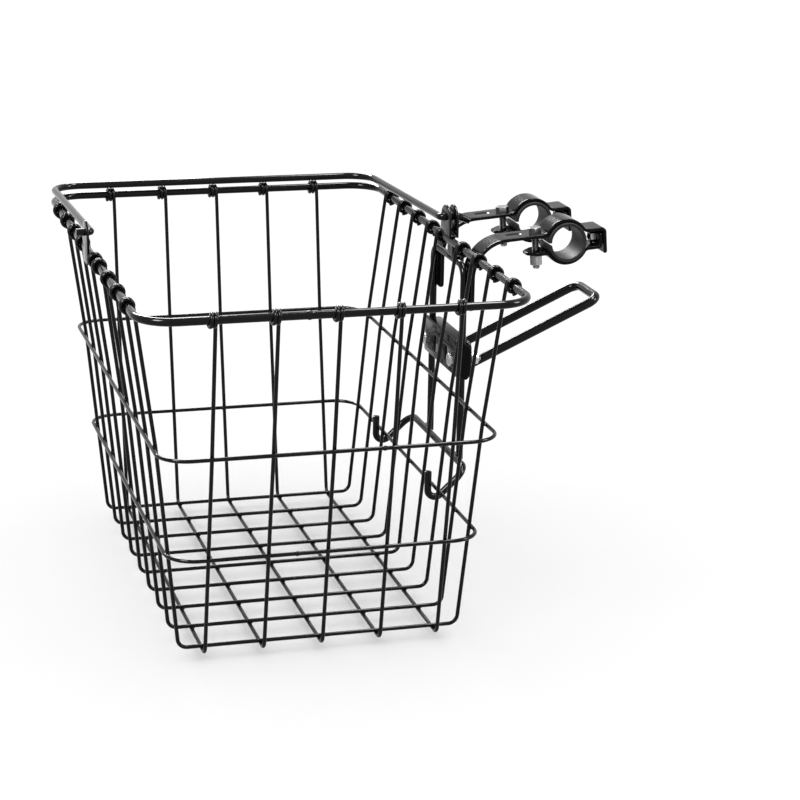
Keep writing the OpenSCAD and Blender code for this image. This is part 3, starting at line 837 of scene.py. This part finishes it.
# clamp strap: from its pointed front ear, under the bar, to its rear tab
meet = math.sqrt(mid_band ** 2 - ear_z ** 2)
meet_angle = math.degrees(math.asin(-ear_z / mid_band))
under_bar = [(EAR_FRONT, ear_z), (-meet - 1.6, ear_z)]
under_bar += arc_yz(0, 0, mid_band, 180 + meet_angle + 4, 360 - meet_angle - 4, 30)
under_bar += [(meet + 1.6, ear_z)]
under_bar += arc_yz(TAB_BACK - TAB_BEND, EAR_TOP - STRAP_T + TAB_BEND, TAB_BEND - half_t,
                    -90, 0, 8)
under_bar += [(TAB_BACK - half_t, TAB_TOP)]
ear_path = tilted(under_bar)[::-1]


def ear_taper(left):
    return 3.2 + (left + 0.3) * 0.93 if left < 8.5 else STRAP_W / 2


def sleeve_profile(chamfer=0.4):
    """The liner's section as (radius, x), with chamfered ends."""
    edge = LINER_HALF - chamfer
    inner, outer = BAR_R + chamfer, LINER_R - chamfer
    return [(BAR_R, -edge), (inner, -LINER_HALF), (outer, -LINER_HALF), (LINER_R, -edge),
            (LINER_R, edge), (outer, LINER_HALF), (inner, LINER_HALF), (BAR_R, edge)]


for side, label in ((1, "left"), (-1, "right")):
    bm = bmesh.new()
    strap(bm, arm_path, side * ARM_X, STRAP_W, STRAP_T, round_start=4.0, round_end=1.2,
          dent=arm_dents)
    finish_mesh(f"{label}_arm_strap", bm, STRAP, "bracket", [f"{label}_arm"])
    bm = bmesh.new()
    strap(bm, ear_path, side * ARM_X, STRAP_W, STRAP_T, round_start=1.2, round_end=2.6,
          taper=ear_taper)
    finish_mesh(f"{label}_under_strap", bm, STRAP, "bracket",
                [f"{label}_clamp_strap"])
    # rubber sleeve with its slit in front
    bm = bmesh.new()
    slit = math.degrees(math.asin(1.0 / 12.0))
    turns = [math.radians(180 + slit + (360 - 2 * slit) * k / 96) + TILT for k in range(97)]
    skin(bm, [[bm.verts.new((side * ARM_X + x, r * math.cos(a), r * math.sin(a)))
               for r, x in sleeve_profile()] for a in turns])
    finish_mesh(f"{label}_rubber_sleeve", bm, RUBBER, "bracket",
                [f"{label}_liner"])


# ---- fasteners ----

HEAD_H, CLAMP_NUT_H, BRACE_NUT_H, M5_BORE, WASHER_T = 3.5, 6.6, 4.4, 2.53, 1.0


def upright(x, y, z):
    return Matrix.Translation((x, y, z))


def along_y(x, y, z, way):
    return Matrix.Translation((x, y, z)) @ Matrix.Rotation(math.radians(-90 * way), 4, "X")


def turned(place, degrees):
    return place @ Matrix.Rotation(math.radians(degrees), 4, "Z")


def washer(bm, place):
    rim, bore, t = 5.0, BOLT_HOLE_R, WASHER_T
    profile = [(bore, 0.15), (bore + 0.15, 0), (rim - 0.2, 0), (rim, 0.2), (rim, t - 0.2),
               (rim - 0.2, t), (bore + 0.15, t), (bore, t - 0.15), (bore, 0.15)]
    lathe(bm, profile, place, 44)


def finish_fasteners(name, bm, node, material=ZINC):
    finish_mesh(name, bm, material, "bracket", [node], sharp=28)


bolts, washers, nuts = bmesh.new(), bmesh.new(), bmesh.new()
for side in (-1, 1):
    seat = CLAMP @ upright(side * ARM_X, BOLT_Y, 0)
    hex_piece(bolts, HEX_FLATS, HEAD_H,
              turned(seat @ upright(0, 0, ARM_TOP + TOUCH), 12 * side))
    thread(bolts, THREAD_R, -18.0, ARM_TOP + 1, seat)
    washer_z = EAR_TOP - STRAP_T - WASHER_T - TOUCH
    washer(washers, seat @ upright(0, 0, washer_z))
    nut_place = seat @ upright(0, 0, washer_z - CLAMP_NUT_H - TOUCH)
    hex_piece(nuts, HEX_FLATS, CLAMP_NUT_H, turned(nut_place, 20 - 9 * side), M5_BORE, True)
finish_fasteners("clamp_bolt_set", bolts, "clamp_bolts")
finish_fasteners("clamp_washer_set", washers, "clamp_washers")
finish_fasteners("clamp_nut_set", nuts, "clamp_nuts")

# round socket heads behind the tails, nuts in front of the tabs
screws, nuts = bmesh.new(), bmesh.new()
dome = [(0, 0), (3.72, 0), (3.87, 0.2)]
dome += [(4.0 * math.cos(math.radians(a)), 4.0 * math.sin(math.radians(a)) - 1)
         for a in range(20, 84, 8)]
dome += [(1.25, 2.8), (1.2, 1.3), (0, 1.1)]
for side in (-1, 1):
    x = side * ARM_X
    head = CLAMP @ along_y(x, TAIL_BACK + TOUCH, TAIL_Z, 1)
    lathe(screws, dome, head, 40)
    thread(screws, 1.98, -10.4, 1.0, head, pitch=0.7, depth=0.3)
    nut_place = CLAMP @ along_y(x, TAB_BACK - STRAP_T - TOUCH, TAIL_Z, -1)
    hex_piece(nuts, 7.0, 4.0, turned(nut_place, 8), 2.03, True)
finish_fasteners("tail_screw_set", screws, "tail_screws", SCREW_BLACK)
finish_fasteners("tail_nut_set", nuts, "tail_nuts")

# ---- hanger, hooks, brace and tray ----


def bent_wire(name, node, half, bends, radius, longest, sides, edge):
    """A rod bent the same way on both sides, from its points on the -X side."""
    bm = bmesh.new()
    points = half + [(-x, y, z) for x, y, z in half[::-1]]
    sweep(bm, rounded_path(points, bends, longest), radius, sides=sides, edge=edge)
    finish_mesh(name, bm, BRACKET, "bracket", [node])


bent_wire("hanger_wire", "hanger_rod", [(-ARM_X, HANGER_Y, -150), (-ARM_X, HANGER_Y, HANGER_TOP)],
          [9, 9], ROD_R, 8.0, 26, 0.5)
hook_y = HANGER_Y - 2 * ROD_R - TOUCH
bent_wire("hook_wire", "hook_rod", [
    (-HOOK_HX, -99.5, HOOK_BAR_Z + 0.5), (-HOOK_HX, -99.5, -171.5),
    (-HOOK_HX, hook_y, HOOK_BAR_Z)], [5.2, 10, 10, 5.2], ROD_R, 6.0, 26, 0.6)

# brace: round rod, pressed flat into paddles that the bolts pass through
bm = bmesh.new()
brace_x, paddle_x, paddle_z, paddle_t = 20.9, 25.45, -80.65, 2.4
paddle_y = PADDLE_Y + TOUCH
foot, back = (paddle_y + 1.8, -88.9), (33, -45.8)
sweep(bm, rounded_path([(-brace_x, *foot), (-brace_x, *back), (brace_x, *back),
                        (brace_x, *foot)], [8, 8], 6.0), 3.15, sides=28, edge=0.3)
for side in (-1, 1):
    cx = side * paddle_x
    loop = rounded_loop([(-7.75, -11.15), (7.75, -11.15), (7.75, 11.15), (-7.75, 11.15)],
                        [4, 4, 4, 4])
    hole = circle_loop(side * PLATE_BOLT_X - cx, PLATE_BOLT_Z - paddle_z, BOLT_HOLE_R)
    plate(bm, [loop, hole], paddle_t, 0.5, along_y(cx, paddle_y + paddle_t / 2, paddle_z, -1))
finish_mesh("brace_wire", bm, BRACKET, "bracket", ["brace_loop"], sharp=45)

# hanger tray: its face with holes and slots, and four flanges
bm = bmesh.new()
tray_t, tray_edge = 2.0, 0.45
tray_low, tray_top = -91.5, -66.5
plate_back = HANGER_Y - ROD_R - TOUCH
flange_start = plate_back - 1.4
hx = ARM_X + ROD_R + TOUCH + tray_t
face = rounded_loop([(-hx, tray_low), (hx, tray_low), (hx, tray_top), (-hx, tray_top)], [2.2] * 4)
holes = [circle_loop(s * PLATE_BOLT_X, PLATE_BOLT_Z, BOLT_HOLE_R) for s in (-1, 1)]
slot_x, slot_r, slot_half = 13, 2, 3.5
for s in (-1, 1):
    holes.append([(s * slot_x + slot_r * math.cos(a) * (0.8 if math.sin(a) < 0 else 1.0),
                   PLATE_BOLT_Z + math.copysign(slot_half, math.sin(a)) + slot_r * math.sin(a))
                  for a in [-2 * math.pi * k / 32 + 0.01 for k in range(32)]])
plate(bm, [face] + holes, tray_t, tray_edge, along_y(0, plate_back - tray_t / 2, 0, -1))
level_hx = ARM_X - ROD_R - 0.6
for z in (tray_top - tray_t / 2, tray_low + tray_t / 2):
    loop = rounded_loop([(-level_hx, flange_start), (level_hx, flange_start),
                         (level_hx, PADDLE_Y), (-level_hx, PADDLE_Y)], [0, 0, 2, 2])
    plate(bm, [loop], tray_t, tray_edge, Matrix.Translation((0, 0, z)))
cut_y = PADDLE_Y - 3.0
side_loop = rounded_loop([(flange_start, -88.5), (cut_y, -93.5), (PADDLE_Y, -90.5),
                          (PADDLE_Y, -71.5), (cut_y, -68.5), (flange_start, -71.5)],
                         [0, 1.2, 1.2, 1.2, 1.2, 0])
for s in (-1, 1):
    place = Matrix.Translation((s * (hx - tray_t / 2), 0, 0)) @ Matrix(
        ((0, 0, 1, 0), (1, 0, 0, 0), (0, 1, 0, 0), (0, 0, 0, 1)))
    plate(bm, [side_loop], tray_t, tray_edge, place)
finish_mesh("hanger_tray", bm, TRAY, "bracket", ["hanger_plate"], sharp=45)

bolts, washers, nuts = bmesh.new(), bmesh.new(), bmesh.new()
washer_y = paddle_y + paddle_t + TOUCH
for side in (-1, 1):
    x = side * PLATE_BOLT_X
    head = along_y(x, plate_back - tray_t - TOUCH, PLATE_BOLT_Z, -1)
    hex_piece(bolts, HEX_FLATS, HEAD_H, turned(head, 7 * side))
    thread(bolts, THREAD_R, -19.2, 1.0, head)
    washer(washers, along_y(x, washer_y, PLATE_BOLT_Z, 1))
    nut_place = along_y(x, washer_y + WASHER_T + TOUCH, PLATE_BOLT_Z, 1)
    hex_piece(nuts, HEX_FLATS, BRACE_NUT_H, turned(nut_place, 14 * side), M5_BORE, True)
# the brace bolt heads and nuts take the lighter zinc copy, whose brighter base colour is a
# painted highlight
finish_fasteners("brace_bolt_set", bolts, "brace_bolts", ZINC_PAINTED_BRIGHT)
finish_fasteners("brace_washer_set", washers, "brace_washers")
finish_fasteners("brace_nut_set", nuts, "brace_nuts", ZINC_PAINTED_BRIGHT)

# weld runs between the rods, straps and hook rod
bm = bmesh.new()
for side in (-1, 1):
    for way in (-1, 1):
        for k in range(12):
            seed += 1
            lump(bm, (side * ARM_X + way * 1.55, strip_y - 0.45, -21.5 - 1.8 * k), (0, 0, 1),
                 (way * 0.8, -1, 0), (1.25, 0.7, 0.6), seed)
    for k in range(7):
        for up in (-1, 1):
            seed += 1
            lump(bm, (side * ARM_X - 1.9 + 0.62 * k, plate_back + TOUCH / 2,
                      HOOK_BAR_Z + up * 1.35), (1, 0, 0), (0, -0.3, up), (0.8, 0.8, 0.75), seed)
finish_mesh("bracket_welds", bm, BRACKET, "bracket")

# ---- floor, lights and camera ----

floor_z = CAD_BOX[0][2] - 0.004
bm = bmesh.new()
floor_half = 60.0
for x, y in ((-1, -1), (1, -1), (1, 1), (-1, 1)):
    bm.verts.new((x * floor_half, y * floor_half, floor_z))
bm.faces.new(bm.verts)
mesh = bpy.data.meshes.new("floor")
bm.to_mesh(mesh)
bm.free()
floor = bpy.data.objects.new("floor", mesh)
bpy.context.scene.collection.objects.link(floor)
mat, tree, bsdf = new_material("floor_paper")
bsdf.inputs["Base Color"].default_value = (0.98, 0.98, 0.98, 1)
bsdf.inputs["Roughness"].default_value = 0.9
bsdf.inputs["Specular IOR Level"].default_value = 0.1
mesh.materials.append(mat)

world = bpy.data.worlds.new("studio")
world.use_nodes = True
background = world.node_tree.nodes["Background"]
background.inputs["Color"].default_value = (1, 1, 1, 1)
background.inputs["Strength"].default_value = 1.08
bpy.context.scene.world = world

# the lamps shine on the part alone, so that the paper stays evenly pale; the pieces of the
# first zinc have weaker lamps of their own
black_pieces = bpy.data.collections.new("black_pieces")
zinc_pieces = bpy.data.collections.new("zinc_pieces")
for obj in bpy.context.scene.objects:
    if obj.type == "MESH" and obj is not floor:
        bright = ZINC in list(obj.data.materials)
        (zinc_pieces if bright else black_pieces).objects.link(obj)


def soft_light(name, place, target, size, power):
    for receiver, share in ((black_pieces, 1.0), (zinc_pieces, 0.3)):
        light = bpy.data.lights.new(name, "AREA")
        light.shape = "RECTANGLE"
        light.size, light.size_y = size
        light.energy = power * share
        holder = bpy.data.objects.new(name, light)
        holder.location = place
        aim = Vector(target) - Vector(place)
        holder.rotation_euler = aim.to_track_quat("-Z", "Y").to_euler()
        holder.light_linking.receiver_collection = receiver
        bpy.context.scene.collection.objects.link(holder)


soft_light("key", (0.9, -1.5, 1.6), (0, -0.19, -0.1), (0.7, 0.9), 110)
soft_light("top", (-0.1, 0.5, 1.9), (0, -0.19, -0.1), (1.2, 0.32), 62)
soft_light("far_side", (-2.0, -0.3, 1.25), (0, -0.19, -0.1), (1.1, 0.5), 80)
soft_light("rider_side", (0.8, 1.6, 0.9), (0, -0.1, -0.1), (0.5, 0.9), 42)

scene = bpy.context.scene
camera_data = bpy.data.cameras.new("camera")
camera_data.sensor_width = 36.0
camera_data.lens = 106.167
camera_data.clip_end = 30
camera = bpy.data.objects.new("camera", camera_data)
place = Vector((1.48966, -0.53475, 0.34176))
forward = Vector((-0.92088, 0.26816, -0.28297)).normalized()
level = Vector((0.27959, 0.96012, 0.0)).normalized()
rise = level.cross(forward)
roll = math.radians(1.052)
right = level * math.cos(roll) + rise * math.sin(roll)
up = rise * math.cos(roll) - level * math.sin(roll)
camera.matrix_world = Matrix((
    (right.x, up.x, -forward.x, place.x),
    (right.y, up.y, -forward.y, place.y),
    (right.z, up.z, -forward.z, place.z),
    (0, 0, 0, 1)))
scene.collection.objects.link(camera)
scene.camera = camera
scene.view_settings.view_transform = "Standard"
